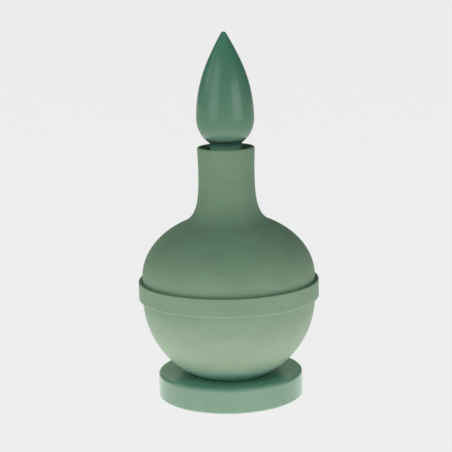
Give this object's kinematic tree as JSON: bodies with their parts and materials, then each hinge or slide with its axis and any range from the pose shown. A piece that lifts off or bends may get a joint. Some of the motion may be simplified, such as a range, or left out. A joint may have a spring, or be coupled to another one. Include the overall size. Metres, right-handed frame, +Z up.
{
  "type": "perfume atomiser",
  "caption": "Round two-part perfume flask on a disc foot, with a finger pump in its neck under a drop-shaped lift-off cap.",
  "frame": {"origin": "centre of the foot's underside, on the table", "axes": "+Z up along the flask's axis, -Y to the front, where the nozzle points"},
  "size_m": [0.063, 0.063, 0.1275],
  "materials": {
    "matte_shell": "matte moulded sage green",
    "gloss_shell": "polished blue-green",
    "felt": "wool felt",
    "rubber": "soft matte",
    "steel": "bright",
    "glass": "clear",
    "aluminium": "satin",
    "pump_plastic": "natural white",
    "tube_plastic": "translucent"
  },
  "bodies": {
    "stand": {"lower_bowl": "matte_shell", "base_foot": "gloss_shell", "base_felt": "felt", "base_screw": "steel", "screw_washer": "steel", "vial_cradle": "rubber"},
    "vial": {"reservoir": "glass"},
    "pump": {"neck_gasket": "rubber", "pump_housing": "pump_plastic", "pump_closure": "aluminium", "pump_turret": "pump_plastic", "stem_seal": "rubber", "return_spring": "steel", "inlet_ball": "steel", "dip_tube": "tube_plastic"},
    "actuator": {"actuator_button": "pump_plastic", "nozzle_insert": "steel", "pump_stem": "pump_plastic", "piston": "pump_plastic"},
    "shell": {"upper_shell": "matte_shell"},
    "cap": {"teardrop_cap": "gloss_shell", "cap_liner": "gloss_shell"}
  },
  "joints": [
    {"name": "vial_lift", "type": "slide", "parent": "stand", "child": "vial", "axis": [0, 0, 1], "range_m": [0, 0.032]},
    {"name": "pump_lift", "type": "slide", "parent": "vial", "child": "pump", "axis": [0, 0, 1], "range_m": [0, 0.056]},
    {"name": "shell_lift", "type": "slide", "parent": "pump", "child": "shell", "axis": [0, 0, 1], "range_m": [0, 0.064]},
    {"name": "cap_lift", "type": "slide", "parent": "shell", "child": "cap", "axis": [0, 0, 1], "range_m": [0, 0.026]},
    {"name": "actuator_press", "type": "slide", "parent": "pump", "child": "actuator", "axis": [0, 0, -1], "range_m": [0, 0.0035], "stiffness_N_per_m": 800, "springref_m": -0.004, "deforming": ["return_spring"]}
  ]
}
